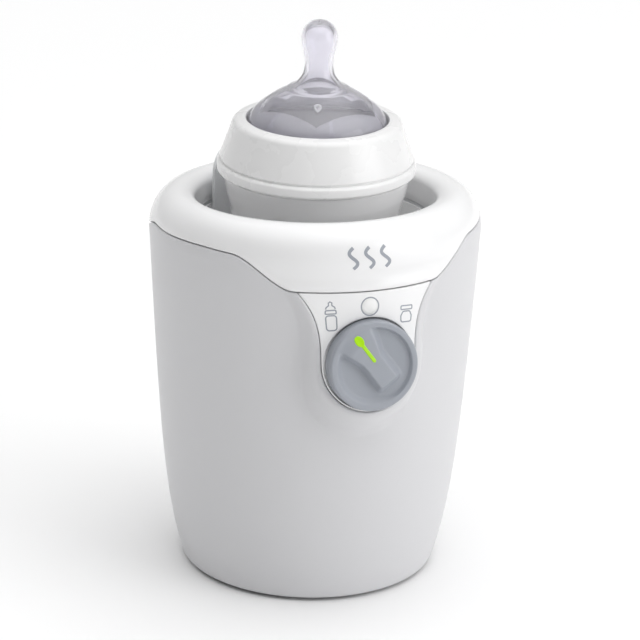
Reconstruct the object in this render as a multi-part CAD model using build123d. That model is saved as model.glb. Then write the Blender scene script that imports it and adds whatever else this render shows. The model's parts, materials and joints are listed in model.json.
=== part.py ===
from build123d import *
import math
import os

# Electric bottle warmer with a feeding bottle standing in its well.
# Millimetres, +Z up, front towards -Y. Origin: centre of the foot ring's underside.

# ---- Driving dimensions ----
RIM_RADIUS = 54.9          # outer radius where the collar's crown begins
RIM_HEIGHT = 118.0         # height of that line
WALL = 2.5                 # wall of every moulded shell
GAP = 0.15                 # half of the visible seam between two shells
RIDGE_RADIUS = 45.5        # top of the crown
RIDGE_HEIGHT = 130.8       # its mean height
LEAN_START = 104.0         # above this height the sections begin to lean
RIDGE_SLOPE = 0.058        # the ridge is higher at the front, mm per mm
WELL_RADIUS = 39.8         # opening in the collar
BASE_HEIGHT = 1.2          # underside of the housing above the floor

KNOB_HEIGHT = 90.2         # selector axis above the floor
KNOB_RADIUS = 14.65
PANEL_TILT = 7.0           # degrees that the panel leans back
PANEL_RADIUS = 58.4        # the panel's face from the warmer's axis, at the selector's height
PANEL_HALF_WIDTH = 15.8    # the panel around the knob
PANEL_FLARE = 6.95         # how much further each side of the panel reaches at its head
PANEL_HEAD = 112.6         # top of the ledge and frame behind the panel
FLANK = 5.5                # width of the slope from the panel's edge down to the body
SEAM_FRONT = 113.5         # seam below the apron
SEAM_SIDE = 123.2          # seam at the shoulders
SEAM_BACK = 115.0          # seam at the back

CHAMBER_RADIUS = 39.5      # inside of the well
CHAMBER_WALL = 1.5
PLATE_TOP = 20.2           # top of the heating plate
BASKET_RADIUS = 38.4       # outside of the lift basket
BASKET_WALL = 1.2
BOTTLE_BOTTOM = 23.0       # the bottle stands on the basket's floor
BOTTLE_RADIUS = 28.0
RING_LIP = 32.7            # widest radius of the bottle's screw ring

os.makedirs("parts", exist_ok=True)


# ---- Small helpers ----
def smooth(t):
    t = min(max(t, 0.0), 1.0)
    return t * t * (3 - 2 * t)


def save(shape, name):
    export_step(shape, f"parts/{name}.step")


def disc(radius, bottom, top, x=0.0, y=0.0):
    """An upright round bar between two heights."""
    return Pos(x, y, (bottom + top) / 2) * Cylinder(radius, top - bottom)


def tube(outer, inner, bottom, top, x=0.0, y=0.0):
    return disc(outer, bottom, top, x, y) - disc(inner, bottom - 1, top + 1, x, y)


def block(x0, x1, y0, y1, z0, z1):
    centre = Pos((x0 + x1) / 2, (y0 + y1) / 2, (z0 + z1) / 2)
    return centre * Box(x1 - x0, y1 - y0, z1 - z0)


def around(count, radius, start=0.0):
    """Points evenly spaced on a circle, from a start angle in degrees."""
    for i in range(count):
        a = math.radians(start + 360 * i / count)
        yield radius * math.cos(a), radius * math.sin(a)


def revolved(*edges):
    """A closed outline of radius and height, turned about the vertical axis."""
    outline = Wire(list(edges))
    return revolve(Face(outline), Axis.Z)


def line(a, b):
    return Edge.make_line((a[0], 0, a[1]), (b[0], 0, b[1]))


def lines(*points):
    return [line(a, b) for a, b in zip(points, points[1:])]


def arc(a, middle, b):
    return Edge.make_three_point_arc((a[0], 0, a[1]), (middle[0], 0, middle[1]), (b[0], 0, b[1]))


def curve(*points):
    return Edge.make_spline([(r, 0, z) for r, z in points])


# ---- The outer surface: a tapered round body with the panel's shield raised out of it ----
def body_radius(z):
    """The round body: a straight taper with a tuck towards the foot."""
    return RIM_RADIUS - 0.052 * (RIM_HEIGHT - z) - 6.3 * math.exp(-z / 23)


def panel_radius(z):
    return PANEL_RADIUS + (KNOB_HEIGHT - z) * math.tan(math.radians(PANEL_TILT))


def panel_half_width(z):
    rise = max(z - KNOB_HEIGHT, 0) / (SEAM_FRONT - KNOB_HEIGHT)
    return PANEL_HALF_WIDTH + PANEL_FLARE * rise**3


def shield(x, z):
    """1 on the panel's face, falling smoothly to 0 where its flank meets the body."""
    if z >= KNOB_HEIGHT:
        outside = abs(x) - panel_half_width(z)
        flank = FLANK
        fade = 1 - smooth((z - SEAM_FRONT) / 9)
    else:
        reach = math.hypot(x, z - KNOB_HEIGHT)
        outside = reach - PANEL_HALF_WIDTH
        flank = FLANK + 7.0 * ((KNOB_HEIGHT - z) / reach) ** 2
        fade = 1
    return fade * (1 - smooth(outside / flank))


def surface_radius(angle, z):
    base = body_radius(z)
    if abs(angle) > math.pi / 3:
        return base
    return base + (panel_radius(z) - base) * shield(base * math.sin(angle), z)


def ridge_slope(z):
    return RIDGE_SLOPE * smooth((z - LEAN_START) / 22)


def station(z, inset):
    """Radius function and height of one horizontal station of the shell."""
    if z <= RIM_HEIGHT:
        return (lambda a: surface_radius(a, z) - inset), z
    t = (z - RIM_HEIGHT) / (RIDGE_HEIGHT - RIM_HEIGHT) * math.pi / 2
    radius = RIDGE_RADIUS + (RIM_RADIUS - RIDGE_RADIUS - inset) * math.cos(t)
    height = RIM_HEIGHT + (RIDGE_HEIGHT - RIM_HEIGHT - inset) * math.sin(t)
    bulge = (surface_radius(0, height) - body_radius(height)) * math.cos(t)
    return (lambda a: radius + bulge * smooth(1 - abs(a) / 0.6)), height


ANGLES = [math.radians(a) for a in list(range(-40, 41, 5)) + list(range(55, 306, 14))]


def loop(radius_at, z, slope):
    """A closed smooth section whose front is raised by the slope."""
    points = []
    for a in ANGLES:
        r = radius_at(a if a <= math.pi else a - 2 * math.pi)
        y = -r * math.cos(a)
        points.append((r * math.sin(a), y, z - slope * y))
    return Face(Wire([Edge.make_spline(points, periodic=True)]))


STATIONS = [BASE_HEIGHT, 6, 14, 26, 42, 58, 66, 71, 76, 81, 88, 96, 104, 110, 114.4, 118]
CROWN = [RIM_HEIGHT + (RIDGE_HEIGHT - RIM_HEIGHT) * k for k in (0.25, 0.5, 0.75, 0.92, 1.0)]


def outer_form():
    """The outside of the warmer as one solid, from the foot to the top of the crown."""
    sections = []
    for z in STATIONS + CROWN:
        radius_at, height = station(z, 0)
        sections.append(loop(radius_at, height, ridge_slope(height)))
    return loft(sections)


def inner_form():
    """The space inside the shells: a turned body, then round sections that lean with the crown."""
    zs = [BASE_HEIGHT - 1] + [z for z in STATIONS[1:] if z <= LEAN_START]
    wall = [(body_radius(z) - WALL, z) for z in zs]
    body = revolved(curve(*wall), *lines(wall[-1], (0, LEAN_START), (0, zs[0]), wall[0]))
    sections = []
    for z in [z for z in STATIONS if z >= LEAN_START] + CROWN[:-1]:
        radius_at, height = station(z, WALL)
        plane = Plane(origin=(0, 0, height), x_dir=(1, 0, 0), z_dir=(0, ridge_slope(height), 1))
        sections.append(plane * Circle(radius_at(math.pi)))
    return body + loft(sections)


def seam_front(x):
    """Height of the seam seen from the front: low under the apron, high at the shoulders."""
    rise = smooth((abs(x) - 24.0) / 17.0) * (SEAM_SIDE - SEAM_FRONT)
    droop = 1.4 * max((abs(x) - 46) / 9, 0) ** 2
    return SEAM_FRONT + rise - droop


def prism(edges, start, end):
    """A closed outline in the XZ plane, pushed along Y from start to end."""
    face = Face(Wire(edges))
    if face.normal_at().Y < 0:
        face = -face
    return Pos(0, start, 0) * extrude(face, amount=end - start, dir=(0, 1, 0))


def above_seam(offset):
    """Everything above the seam between the collar and the housing."""
    xs = [-56 + 2 * k for k in range(57)]
    side = seam_front(56) + offset
    front_line = Edge.make_spline([(x, 0, seam_front(x) + offset) for x in xs])
    frame = lines((56, side), (70, side), (70, 160), (-70, 160), (-70, side), (-56, side))
    front = prism([front_line, *frame], -80, 0)
    ys = [3 * k for k in range(10)]
    drop = side - SEAM_BACK - offset
    back_line = Edge.make_spline([(0, y, side - drop * smooth(y / 27)) for y in ys])
    end = (0, 80, SEAM_BACK + offset)
    corners = [(0, 27, SEAM_BACK + offset), end, (0, 80, 160), (0, 0, 160), (0, 0, side)]
    sides = [Edge.make_line(a, b) for a, b in zip(corners, corners[1:])]
    back = Pos(-70, 0, 0) * extrude(Face(Wire([back_line, *sides])), amount=140, dir=(1, 0, 0))
    return front + back


def panel_prism(grow, top):
    """The shield outline of the control panel, grown by a margin, pushed forwards."""
    radius = PANEL_HALF_WIDTH + grow
    zs = [KNOB_HEIGHT + (top - KNOB_HEIGHT) * k / 6 for k in range(7)]
    right = [(panel_half_width(z) + grow, 0, z) for z in zs]
    left = [(-x, 0, z) for x, _, z in reversed(right)]
    bottom = arc((-radius, KNOB_HEIGHT), (0, KNOB_HEIGHT - radius), (radius, KNOB_HEIGHT))
    return prism([Edge.make_spline(right), line((right[-1][0], top), (left[0][0], top)),
                  Edge.make_spline(left), bottom], -80, -30)


# ---- The shells ----
ORIGIN = (0, -panel_radius(KNOB_HEIGHT), KNOB_HEIGHT)
TILT = math.radians(PANEL_TILT)
SELECTOR = Plane(origin=ORIGIN, x_dir=(1, 0, 0), z_dir=(0, -math.cos(TILT), math.sin(TILT)))
POCKET_FLOOR = -2.1        # the knob's recess, measured along the selector axis
POCKET_RADIUS = 15.05
BUSH_HOLE = 3.75
LENS_HEIGHT = 108.8
LENS_RADIUS = 2.5
PANEL_WALL = 2.2
LEDGE_TOP = 3.9            # depth of the ledge that carries the panel
LEDGE_WALL = 1.7
PANEL_SCREW = (12.8, 104.0)
BOARD_SCREW = (12.8, 110.2)
GLAND_HEIGHT = 10.0        # the cord inlet above the floor
GLAND_SEAT = 45.0          # the inlet's head rests in the back wall here
GLAND_HEAD = 7.0
GLAND_NECK = 5.0
POST_CIRCLE = 37.0
BASE_TOP = 3.7
SCREW_SEAT = 49.6          # the panel screws' heads rest here, behind the ledge
EAR_CIRCLE = 46.8
FLANGE_TOP = 118.0
SKIRT_BOTTOM = 119.0       # the throat's skirt presses the seal on the chamber's flange
SKIRT_RADIUS = 42.4


def on_selector(shape):
    return SELECTOR.location * shape


def leaned(shape):
    """The shape leaning with the collar's ridge, higher at the front."""
    pivot = Pos(0, 0, RIDGE_HEIGHT - 5)
    return pivot * Rot(-math.degrees(math.atan(RIDGE_SLOPE)), 0, 0) * pivot.inverse() * shape


def outward(radius, x, z, start, end):
    """A round bar towards the front, from y = -start to y = -end."""
    return Pos(x, -(start + end) / 2, z) * Rot(90, 0, 0) * Cylinder(radius, abs(end - start))


def cone_shell(outer_inset, inner_inset):
    """The panel's leaning conical face as a shell, between two depths below the surface."""
    low, high = 60, 125
    layers = [Cone(panel_radius(low) - inset, panel_radius(high) - inset, high - low)
              for inset in (outer_inset, inner_inset)]
    return Pos(0, 0, (low + high) / 2) * (layers[0] - layers[1])


def make_housing(shell):
    """The lower shell: a window for the panel with a frame and ledge behind it, posts and the inlet."""
    housing = shell - above_seam(-GAP)
    housing -= panel_prism(GAP, SEAM_FRONT + 2)
    frame_wall = panel_prism(2.0, PANEL_HEAD) - panel_prism(0.3, 130)
    ledge = panel_prism(1.5, PANEL_HEAD) - panel_prism(-2.5, 130)
    ledge_shell = cone_shell(LEDGE_TOP, LEDGE_TOP + LEDGE_WALL)
    housing += (cone_shell(PANEL_WALL, LEDGE_TOP + LEDGE_WALL) & frame_wall) + (ledge_shell & ledge)
    for side in (-1, 1):
        x0, x1 = sorted((side * 9.8, side * 17.0))
        housing += ledge_shell & block(x0, x1, -70, -30, 101, PANEL_HEAD - 0.1)
        housing += outward(2.3, side * BOARD_SCREW[0], BOARD_SCREW[1], 47.3, 51.5)
        housing -= outward(1.5, side * PANEL_SCREW[0], PANEL_SCREW[1], 40, 52.6)
        housing -= outward(2.7, side * PANEL_SCREW[0], PANEL_SCREW[1], 40, SCREW_SEAT)
        housing -= outward(0.9, side * BOARD_SCREW[0], BOARD_SCREW[1], 46, 51.6)
    for x, y in around(4, POST_CIRCLE, 45):
        post = disc(2.9, BASE_TOP, 13, x, y)
        rib = Pos(0, 0, 8) * Box(6, 2, 8)
        angle = math.degrees(math.atan2(y, x))
        housing += post + Rot(0, 0, angle) * Pos(39.3, 0, 0) * rib
        housing -= disc(1.2, BASE_TOP - 1, 11, x, y)
    housing -= outward(GLAND_NECK + 0.1, 0, GLAND_HEIGHT, -30, -50)
    housing -= outward(GLAND_HEAD + 0.1, 0, GLAND_HEIGHT, -GLAND_SEAT, -GLAND_SEAT - 10)
    return housing


def make_collar(shell):
    """The upper shell: crown, apron and the throat of the well, with screw ears and snap hooks."""
    collar = shell & above_seam(GAP)
    low = loop(lambda a: SKIRT_RADIUS, SKIRT_BOTTOM, 0)
    high = loop(lambda a: SKIRT_RADIUS, RIDGE_HEIGHT - 1.6, RIDGE_SLOPE)
    collar += loft([low, high])
    for x, y in around(4, EAR_CIRCLE, 45):
        collar += disc(3.0, FLANGE_TOP + 0.1, RIDGE_HEIGHT - 3.7 - RIDGE_SLOPE * y, x, y)
        collar -= disc(1.2, FLANGE_TOP, 124, x, y)
    for angle in (0, 90, 180):
        hook = block(49.8, 51.7, -4, 4, 107, 125 if angle != 90 else 122.5)
        collar += Rot(0, 0, angle) * hook
    lip = WELL_RADIUS, RIDGE_HEIGHT - 3.8
    reach = RIDGE_RADIUS - WELL_RADIUS
    turns = (0, 0.4, 0.8, 1.2, 1.57)
    bend = [(lip[0] + reach * (1 - math.cos(t)), lip[1] + 3.85 * math.sin(t)) for t in turns]
    bottom = RIDGE_HEIGHT - 35
    rest = [bend[-1], (RIDGE_RADIUS, 140), (0, 140), (0, bottom), (WELL_RADIUS, bottom), lip]
    throat = revolved(curve(*bend), *lines(*rest))
    return collar - leaned(throat)


def make_panel():
    """The control panel: a leaning shield with the knob's recess, a lens hole and two screw bosses."""
    outline = panel_prism(-GAP, SEAM_FRONT + 2) - above_seam(-GAP)
    panel = cone_shell(0, PANEL_WALL) & outline
    panel += on_selector(disc(PANEL_HALF_WIDTH - 0.4, -3.6, -1.0))
    panel -= on_selector(disc(POCKET_RADIUS, POCKET_FLOOR, 8))
    panel -= on_selector(disc(BUSH_HOLE, -6, 0))
    panel -= outward(LENS_RADIUS + 0.05, 0, LENS_HEIGHT, 48, 60)
    for side in (-1, 1):
        panel += outward(2.5, side * PANEL_SCREW[0], PANEL_SCREW[1], 51.9, 54.2)
        panel -= outward(1.0, side * PANEL_SCREW[0], PANEL_SCREW[1], 50, 53.6)
    return panel


shell = outer_form() - inner_form()

save(make_housing(shell), "outer_housing")
save(make_collar(shell), "top_collar")
save(make_panel(), "control_panel")


# ---- The well and its heater ----
CHAMBER_FLOOR = (16.0, 18.0)
FLOOR_HOLE = 30.0
CLAMP_BOTTOM = 14.5
HEATER_SCREW_CIRCLE = 27.0


def make_chamber():
    low, high = CHAMBER_FLOOR
    outer = CHAMBER_RADIUS + CHAMBER_WALL
    chamber = tube(outer, CHAMBER_RADIUS, low, FLANGE_TOP)
    chamber += tube(outer - 0.5, FLOOR_HOLE, low, high)
    chamber += tube(44.0, CHAMBER_RADIUS, FLANGE_TOP - 1.5, FLANGE_TOP)
    for x, y in around(4, EAR_CIRCLE, 45):
        ear = disc(3.8, FLANGE_TOP - 1.5, FLANGE_TOP, x, y) - disc(40.5, 0, 200)
        chamber += ear - disc(1.6, 0, 200, x, y)
    return chamber


def make_clamp():
    clamp = tube(35, 24, CLAMP_BOTTOM, CHAMBER_FLOOR[0])
    for side in (-1, 1):
        x0, x1 = sorted((side * 22.6, side * 24.6))
        clamp += block(x0, x1, -4, 4, 10.5, CHAMBER_FLOOR[0])
    clamp += block(-24.6, 24.6, -4, 4, 10.5, 12)
    for x, y in around(3, HEATER_SCREW_CIRCLE, 90):
        clamp -= disc(1.6, 0, 30, x, y)
    return clamp


def make_spreader():
    spreader = disc(29.5, 16, 19)
    for x, y in around(3, HEATER_SCREW_CIRCLE, 90):
        spreader -= disc(1.2, 15, 18.4, x, y)
    return spreader


def screw(shank, reach, head, head_height):
    """A pan-head screw standing head down, with the shank's root at z = 0."""
    body = disc(shank, -0.2, reach) + disc(head, -head_height, 0)
    slot = block(-0.4, 0.4, -head * 0.7, head * 0.7, -head_height - 1, -head_height + 0.6)
    return body - slot - Rot(0, 0, 90) * slot


def screws(shape, places):
    return Compound([Pos(*place) * shape for place in places])


def make_base():
    base = disc(40.1, BASE_HEIGHT, BASE_TOP) - tube(33.5, 28.5, 0, BASE_HEIGHT + 0.6)
    for x, y in around(4, POST_CIRCLE, 45):
        base -= disc(1.6, 0, 9, x, y) + disc(2.7, 0, BASE_HEIGHT + 1.3, x, y)
    for k in range(5):
        vent = SlotOverall(26 - 2 * abs(k - 2), 2.0)
        base -= Pos(0, 5 * (k - 2), 0) * extrude(vent, amount=10)
    return base


def make_gland():
    """Cord inlet at the lower back, with a bore for a 6.6 mm lead."""
    gland = outward(GLAND_HEAD, 0, GLAND_HEIGHT, -GLAND_SEAT, -GLAND_SEAT - 2.5)
    gland += outward(GLAND_NECK, 0, GLAND_HEIGHT, -35.5, -GLAND_SEAT)
    gland += outward(GLAND_NECK + 0.8, 0, GLAND_HEIGHT, -39.6, -40.8)
    return gland - outward(3.3, 0, GLAND_HEIGHT, -26, -56)


def make_terminals():
    body = block(-9, 9, 25, 34, BASE_TOP, 11)
    for x in (-5.5, 0, 5.5):
        body -= disc(1.5, 8, 12, x, 29.5)
    return body


def make_wiring():
    """Three strands from the terminals, under the heater and up behind the front wall to the switch."""
    strands = []
    for x in (-5, 0, 5):
        path = FilletPolyline((x, 24.9, 7), (x, -42.3, 7), (x, -42.3, 71.5), (x, -49.4, 79.8), radius=7)
        section = Plane(origin=path @ 0, z_dir=path % 0) * Circle(0.8)
        strands.append(sweep(section, path))
    return Compound(strands)


# ---- Selector, board and lamp behind the panel ----
SHAFT_RADIUS = 3.0


def make_switch():
    body = Pos(0, 0, -9.9) * Box(22, 16, 7.2)
    body -= disc(3.3, -12.5, 0)
    for x in (-6, 0, 6):
        body += block(x - 1, x + 1, 8, 9.5, -12, -11)
    return on_selector(body)


def make_bushing():
    return on_selector(tube(6, 3.05, -6.3, -5.0) + tube(3.6, 3.05, -5.0, -0.7))


def make_nut():
    nut = extrude(RegularPolygon(5.2, 6), amount=1.2)
    return on_selector(Pos(0, 0, POCKET_FLOOR) * nut - disc(3.6, -5, 5))


def make_shaft():
    return on_selector(disc(SHAFT_RADIUS, -12.2, 2.4))


BOARD_FRONT = 47.3
LAMP_RADIUS = 1.6


def make_board():
    board = block(-16, 16, -BOARD_FRONT, -BOARD_FRONT + 1.5, 100.4, 113.6)
    for side in (-1, 1):
        board -= outward(1.3, side * BOARD_SCREW[0], BOARD_SCREW[1], 40, 60)
        board -= outward(2.9, side * PANEL_SCREW[0], PANEL_SCREW[1], 40, 60)
    return board


def make_components():
    front = -BOARD_FRONT
    pieces = [block(-6, -1.5, front - 2.5, front, 101.5, 105.5), block(1.5, 7, front - 1.8, front, 102, 105)]
    for x in (-7, 7):
        pieces.append(outward(1.5, x, 110.5, BOARD_FRONT, BOARD_FRONT + 3))
    return Compound(pieces)


def make_lens():
    lens = outward(LENS_RADIUS, 0, LENS_HEIGHT, 51.6, 60)
    lens -= outward(LENS_RADIUS - 0.8, 0, LENS_HEIGHT, 50, 54.4)
    return lens & cone_shell(0, 10)


def make_lamp():
    return outward(LAMP_RADIUS, 0, LENS_HEIGHT, BOARD_FRONT, 53.6)


# ---- The knob ----
KNOB_FACE = 4.0            # rim of the knob above the panel, along the selector axis
SCOOP_FLOOR = 2.2
BAR_TOP = 5.2
BAR_HALF = 3.0
BAR_SIDE = 0.7             # the finger bar and its pointer lie this far to the right of the centre
POINTER_ANGLE = 36.0       # the bar leans to the left of upright


def make_knob():
    """A dished knob with a finger bar between two scoops, hollow behind, on the switch's shaft."""
    knob = disc(KNOB_RADIUS, -1.8, KNOB_FACE)
    knob = fillet(knob.edges().group_by(Axis.Z)[-1], 0.8)
    knob -= disc(12.3, -3, 0.9)
    knob += disc(4.6, -0.2, 1.5)
    for side in (-1, 1):
        half = Circle(12.7) & Pos(BAR_SIDE + side * (BAR_HALF + 10), 0) * Rectangle(20, 40)
        knob -= Pos(0, 0, SCOOP_FLOOR) * extrude(fillet(half.vertices(), 1.5), amount=4, taper=-12)
    slot = Pos(BAR_SIDE, 0) * SlotOverall(26.0, 2 * BAR_HALF, rotation=90)
    bar = extrude(slot, amount=BAR_TOP - SCOOP_FLOOR, taper=6)
    knob += Pos(0, 0, SCOOP_FLOOR) * bar
    knob -= disc(SHAFT_RADIUS, -5, 2.4)
    knob -= Pos(0, 0, BAR_TOP - 0.5) * pointer_shape(3)
    return on_selector(Rot(0, 0, POINTER_ANGLE) * knob)


def pointer_shape(height):
    """A small spoon lying along the bar, its bowl towards the rim."""
    bowl = Pos(0, 10.0) * Ellipse(1.5, 2.0)
    stem = Pos(0, 6.0) * Rectangle(1.2, 7.0)
    return Pos(BAR_SIDE, 0, 0) * extrude(bowl + stem + Pos(0, 2.6) * Circle(0.6), amount=height)


def make_pointer():
    return on_selector(Rot(0, 0, POINTER_ANGLE) * Pos(0, 0, BAR_TOP - 0.5) * pointer_shape(0.65))


# ---- Lift basket ----
BASKET_FLOOR = 21.5
BASKET_TOP = 44.0
TAB_ANGLE = -146.0
TAB_WIDTH = 16.0
TAB_TOP = 137.0
WINDOWS = 6


def make_basket():
    """A low ring of wall with windows, and a tall strip that ends in a round tab."""
    basket = tube(BASKET_RADIUS, BASKET_RADIUS - BASKET_WALL, BOTTLE_BOTTOM, BASKET_TOP)
    for k in range(WINDOWS):
        window = block(30, 50, -5.5, 5.5, 27, 39)
        basket -= Rot(0, 0, 360 * k / WINDOWS) * window
    strip = tube(BASKET_RADIUS, BASKET_RADIUS - BASKET_WALL, BOTTLE_BOTTOM, TAB_TOP)
    outline = block(-TAB_WIDTH / 2, TAB_WIDTH / 2, -50, -20, BOTTLE_BOTTOM, TAB_TOP - TAB_WIDTH / 2)
    outline += outward(TAB_WIDTH / 2, 0, TAB_TOP - TAB_WIDTH / 2, 20, 50)
    return basket + Rot(0, 0, TAB_ANGLE) * (strip & outline)


def make_basket_floor():
    """The round floor under the wall, with drain holes and three feet."""
    floor = disc(BASKET_RADIUS, BASKET_FLOOR, BOTTLE_BOTTOM)
    for count, radius, hole in ((1, 0, 5), (6, 14, 4), (12, 27, 4)):
        for x, y in around(count, radius):
            floor -= disc(hole, 0, 50, x, y)
    for x, y in around(3, 33.5, 90):
        floor += disc(2.0, PLATE_TOP, BASKET_FLOOR + 0.5, x, y)
    return floor


# ---- Feeding bottle ----
NECK_RADIUS = 26.4
NECK_TOP = 149.6
GLASS = 1.7


def make_bottle():
    inner = BOTTLE_RADIUS - GLASS
    bottom = BOTTLE_BOTTOM
    outside = [line((0, bottom), (24.5, bottom)),
               arc((24.5, bottom), (27.0, bottom + 1.0), (BOTTLE_RADIUS, bottom + 3.5)),
               line((BOTTLE_RADIUS, bottom + 3.5), (BOTTLE_RADIUS, 108)),
               curve((BOTTLE_RADIUS, 108), (27.6, 116), (27.9, 124), (29.7, 130), (30.5, 134.6)),
               *lines((30.5, 134.6), (30.5, 136.1), (NECK_RADIUS, 136.1), (NECK_RADIUS, NECK_TOP),
                      (NECK_RADIUS - 2, NECK_TOP), (NECK_RADIUS - 2, 128)),
               curve((NECK_RADIUS - 2, 128), (25.2, 124), (25.9, 116), (inner, 108)),
               line((inner, 108), (inner, bottom + 4.5)),
               arc((inner, bottom + 4.5), (25.4, bottom + 2.6), (23.5, bottom + 2)),
               *lines((23.5, bottom + 2), (0, bottom + 2), (0, bottom))]
    return revolved(*outside)


def make_ring():
    points = [(26.8, 136.6), (32.3, 136.6), (RING_LIP, 137.1), (RING_LIP, 139.9), (32.3, 140.4),
              (31.5, 140.6), (31.5, 141.3), (32.0, 141.5), (28.8, 150.0)]
    rest = [(23.3, 154.6), (23.3, 151.7), (26.8, 151.7), (26.8, 136.6)]
    shoulder = arc((28.8, 150.0), (27.4, 153.2), (24.8, 154.6))
    return revolved(*lines(*points), shoulder, *lines((24.8, 154.6), *rest))


def make_teat():
    outer = [(22.9, 153.0), (21.3, 156.3), (17.1, 160.4), (10.2, 164.6), (7.4, 166.6), (4.9, 170.6),
             (4.6, 173.5), (5.7, 178.0), (5.8, 182.0), (3.9, 185.8), (0, 187.2)]
    inner = [(0, 185.9), (2.7, 184.8), (4.4, 181.8), (4.3, 178.2), (3.2, 173.6), (3.6, 170.0),
             (6.5, 165.4), (9.5, 163.2), (16.2, 159.2), (20.1, 155.5), (21.6, 152.6)]
    foot = lines((21.6, 152.6), (21.6, 149.9), (26.2, 149.9), (26.2, 151.3), (22.9, 151.3), (22.9, 153.0))
    return revolved(*foot, curve(*outer), line(outer[-1], inner[0]), curve(*inner))


def screw_sets():
    posts = [(x, y, BASE_HEIGHT + 1.3) for x, y in around(4, POST_CIRCLE, 45)]
    save(screws(screw(1.2, 8.3, 2.5, 1.2), posts), "base_screws")
    ears = [(x, y, FLANGE_TOP - 1.5) for x, y in around(4, EAR_CIRCLE, 45)]
    save(screws(screw(1.2, 6.5, 2.4, 1.3), ears), "chamber_screws")
    clamps = [(x, y, CLAMP_BOTTOM) for x, y in around(3, HEATER_SCREW_CIRCLE, 90)]
    save(screws(screw(1.2, 3.8, 2.4, 1.3), clamps), "heater_screws")
    forwards = Rot(90, 0, 0)
    panel = [Pos(s * PANEL_SCREW[0], -SCREW_SEAT, PANEL_SCREW[1]) * forwards * screw(1.0, 3.8, 2.3, 1.2)
             for s in (-1, 1)]
    save(Compound(panel), "panel_screws")
    board = [Pos(s * BOARD_SCREW[0], 1.5 - BOARD_FRONT, BOARD_SCREW[1]) * forwards * screw(0.9, 5, 1.9, 1.2)
             for s in (-1, 1)]
    save(Compound(board), "board_screws")


save(make_chamber(), "heating_chamber")
save(tube(42.2, 40.0, FLANGE_TOP, SKIRT_BOTTOM), "chamber_seal")
save(disc(36, 19, PLATE_TOP), "heating_plate")
save(tube(36, 31, CHAMBER_FLOOR[1], 19), "plate_gasket")
save(make_spreader(), "heat_spreader")
save(block(-11, 11, -8, 8, 12, 16), "ptc_element")
save(make_clamp(), "heater_clamp")
save(disc(7.5, 9, 16, 0, 16), "thermostat")
save(Pos(0, -14, 14.4) * Rot(0, 90, 0) * Cylinder(1.6, 10), "thermal_fuse")
save(make_base(), "base_plate")
save(tube(33.5, 28.5, 0, BASE_HEIGHT + 0.6), "foot_ring")
save(make_gland(), "cord_gland")
save(make_terminals(), "terminal_block")
save(make_wiring(), "wiring")
save(make_switch(), "selector_switch")
save(make_bushing(), "switch_bushing")
save(make_nut(), "switch_nut")
save(make_shaft(), "switch_shaft")
save(make_board(), "circuit_board")
save(make_components(), "board_components")
save(make_lens(), "pilot_lens")
save(make_lamp(), "pilot_lamp")
save(make_knob(), "control_knob")
save(make_pointer(), "knob_pointer")
save(make_basket(), "lift_basket")
save(make_basket_floor(), "basket_floor")
save(make_bottle(), "bottle_body")
save(make_ring(), "bottle_ring")
save(make_teat(), "teat")
screw_sets()
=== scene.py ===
import json
import math

import bmesh
import bpy
import numpy as np
from mathutils import Matrix, Vector

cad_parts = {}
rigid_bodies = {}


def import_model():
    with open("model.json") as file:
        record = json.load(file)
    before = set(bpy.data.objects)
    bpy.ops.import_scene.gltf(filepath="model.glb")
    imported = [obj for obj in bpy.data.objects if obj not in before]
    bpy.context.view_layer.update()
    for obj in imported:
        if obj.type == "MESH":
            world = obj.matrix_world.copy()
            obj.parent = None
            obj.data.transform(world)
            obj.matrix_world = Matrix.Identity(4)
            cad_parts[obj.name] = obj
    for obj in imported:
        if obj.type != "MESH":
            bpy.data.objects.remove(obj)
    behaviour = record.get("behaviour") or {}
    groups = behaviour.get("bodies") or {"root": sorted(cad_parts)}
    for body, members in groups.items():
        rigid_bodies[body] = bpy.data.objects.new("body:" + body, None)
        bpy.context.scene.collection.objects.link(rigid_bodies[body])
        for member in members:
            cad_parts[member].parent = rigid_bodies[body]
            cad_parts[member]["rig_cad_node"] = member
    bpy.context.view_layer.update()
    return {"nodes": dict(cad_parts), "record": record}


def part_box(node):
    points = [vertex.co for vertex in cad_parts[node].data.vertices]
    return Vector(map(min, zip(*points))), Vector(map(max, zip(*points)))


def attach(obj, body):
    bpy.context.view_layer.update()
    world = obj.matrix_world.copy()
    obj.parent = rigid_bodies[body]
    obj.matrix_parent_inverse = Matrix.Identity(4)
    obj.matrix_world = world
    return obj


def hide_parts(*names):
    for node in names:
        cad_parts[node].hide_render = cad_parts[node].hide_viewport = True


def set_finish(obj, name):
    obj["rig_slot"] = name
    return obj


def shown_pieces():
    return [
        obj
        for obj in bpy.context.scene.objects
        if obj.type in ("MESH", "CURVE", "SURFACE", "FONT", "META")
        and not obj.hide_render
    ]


# Looks of an electric bottle warmer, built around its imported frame.
# The scene is in metres, +Z up, front towards -Y. Shapes are worked out in millimetres and
# turned to metres by MM where a mesh is made.

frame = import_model()

MM = 0.001

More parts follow.
